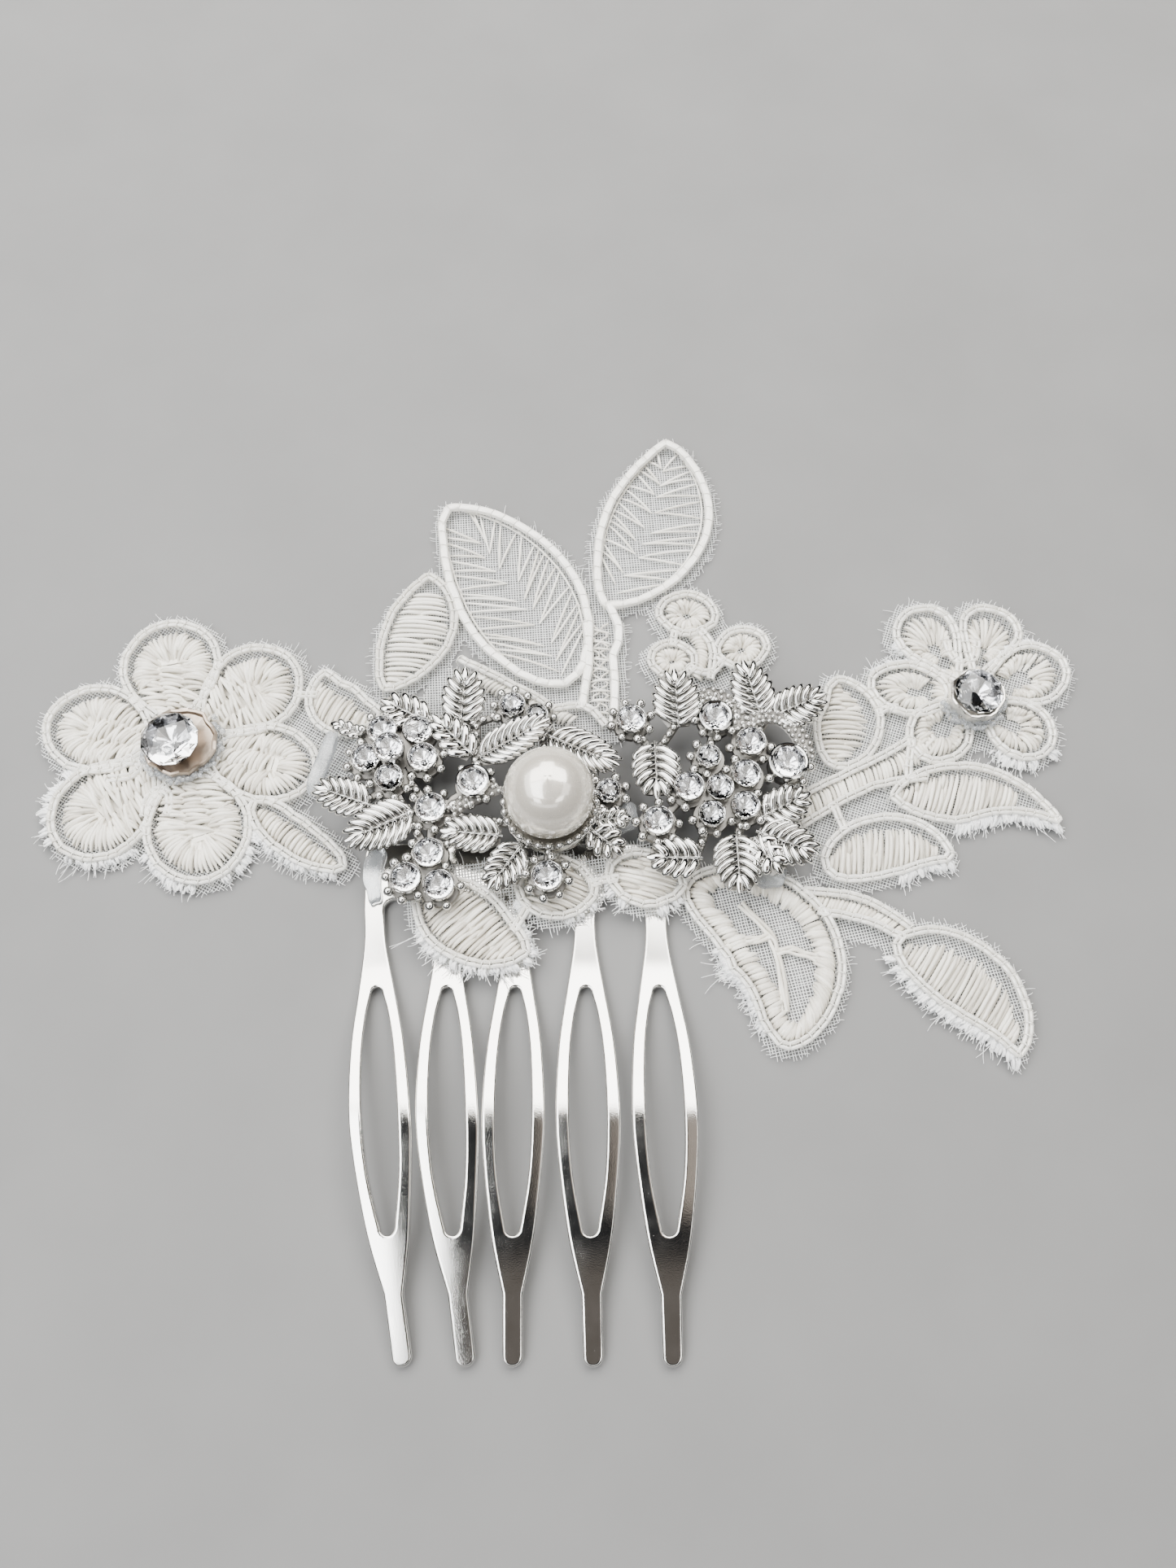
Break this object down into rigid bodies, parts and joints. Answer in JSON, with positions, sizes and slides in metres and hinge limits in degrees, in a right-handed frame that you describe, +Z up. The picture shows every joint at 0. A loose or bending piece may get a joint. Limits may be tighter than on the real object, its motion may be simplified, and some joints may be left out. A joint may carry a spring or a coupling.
{
  "type": "decorative hair comb",
  "caption": "Bridal hair comb: looped metal teeth carrying corded lace flowers and leaves, stone-set leaf castings, a large pearl and big crystals.",
  "frame": {"origin": "middle of the whole piece in plan, on the surface that it lies on", "axes": "+X along the spray towards the small flower, +Y from the teeth's tips towards the top leaves, +Z up out of the decorated face"},
  "size_m": [0.122, 0.1083, 0.0135],
  "materials": {
    "comb_plate": "polished silver plate",
    "rhodium_casting": "bright rhodium-plated casting",
    "tulle_net": "fine white net with frayed edges",
    "satin_thread": "glossy ivory rayon stitching",
    "couched_cord": "shiny silver-white cord",
    "crystal": "clear foiled cut stone",
    "foil_cup": "bright foil-backed cup",
    "pearl": "cream pearl coating",
    "set_glue": "clear bluish set glue"
  },
  "bodies": {
    "root": {"bottom_petals_cord": "couched_cord", "bottom_petals_net": "tulle_net", "bottom_petals_satin": "satin_thread", "casting_left": "rhodium_casting", "casting_right": "rhodium_casting", "comb_plate": "comb_plate", "crystal_cup_left": "foil_cup", "crystal_cup_right": "foil_cup", "floret_cord": "couched_cord", "floret_net": "tulle_net", "floret_satin": "satin_thread", "glue_left_tab": "set_glue", "glue_lower_left": "set_glue", "glue_middle": "set_glue", "glue_right": "set_glue", "large_crystal_left": "crystal", "large_crystal_right": "crystal", "left_flower_cord": "couched_cord", "left_flower_net": "tulle_net", "left_flower_satin": "satin_thread", "lower_spray_cord": "couched_cord", "lower_spray_net": "tulle_net", "lower_spray_satin": "satin_thread", "pearl": "pearl", "right_flower_cord": "couched_cord", "right_flower_net": "tulle_net", "right_flower_satin": "satin_thread", "stone_left_1": "crystal", "stone_left_10": "crystal", "stone_left_11": "crystal", "stone_left_12": "crystal", "stone_left_13": "crystal", "stone_left_14": "crystal", "stone_left_15": "crystal", "stone_left_2": "crystal", "stone_left_3": "crystal", "stone_left_4": "crystal", "stone_left_5": "crystal", "stone_left_6": "crystal", "stone_left_7": "crystal", "stone_left_8": "crystal", "stone_left_9": "crystal", "stone_right_1": "crystal", "stone_right_10": "crystal", "stone_right_11": "crystal", "stone_right_2": "crystal", "stone_right_3": "crystal", "stone_right_4": "crystal", "stone_right_5": "crystal", "stone_right_6": "crystal", "stone_right_7": "crystal", "stone_right_8": "crystal", "stone_right_9": "crystal", "top_spray_cord": "couched_cord", "top_spray_net": "tulle_net", "top_spray_stitching": "satin_thread"}
  },
  "joints": []
}
